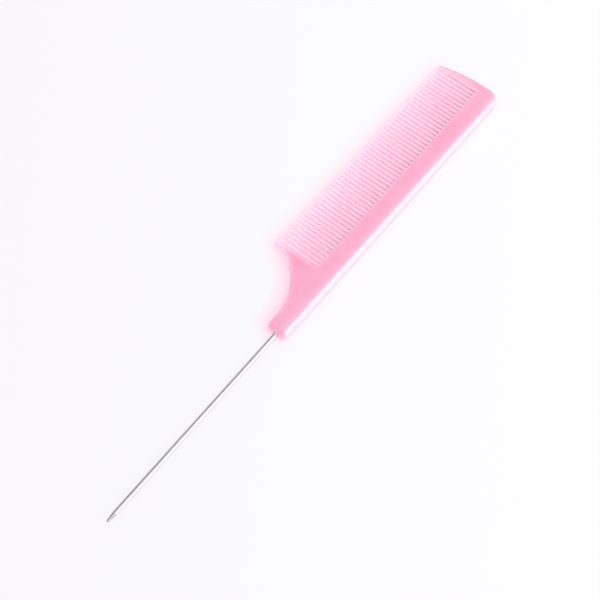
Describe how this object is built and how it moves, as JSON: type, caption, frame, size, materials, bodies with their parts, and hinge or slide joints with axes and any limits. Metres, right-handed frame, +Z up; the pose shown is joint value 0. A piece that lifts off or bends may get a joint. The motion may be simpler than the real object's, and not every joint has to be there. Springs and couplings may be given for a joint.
{
  "type": "rat tail comb",
  "caption": "Fine-tooth rat tail comb: a translucent plastic comb head on a short neck, with a straight steel pin tail for parting and sectioning hair.",
  "frame": {"origin": "on the pin axis, where the pin leaves the end face of the neck", "axes": "+X along the back from the neck to the far end of the head, with the pin along -X; +Y from the back to the tooth tips; +Z up from the flat lower face that the comb lies on"},
  "size_m": [0.229, 0.0286, 0.0044],
  "materials": {
    "pink_plastic": "glossy milky translucent moulding",
    "steel_wire": "polished drawn stainless steel wire"
  },
  "bodies": {
    "root": {"comb_body": "pink_plastic", "tail_pin": "steel_wire"}
  },
  "joints": []
}
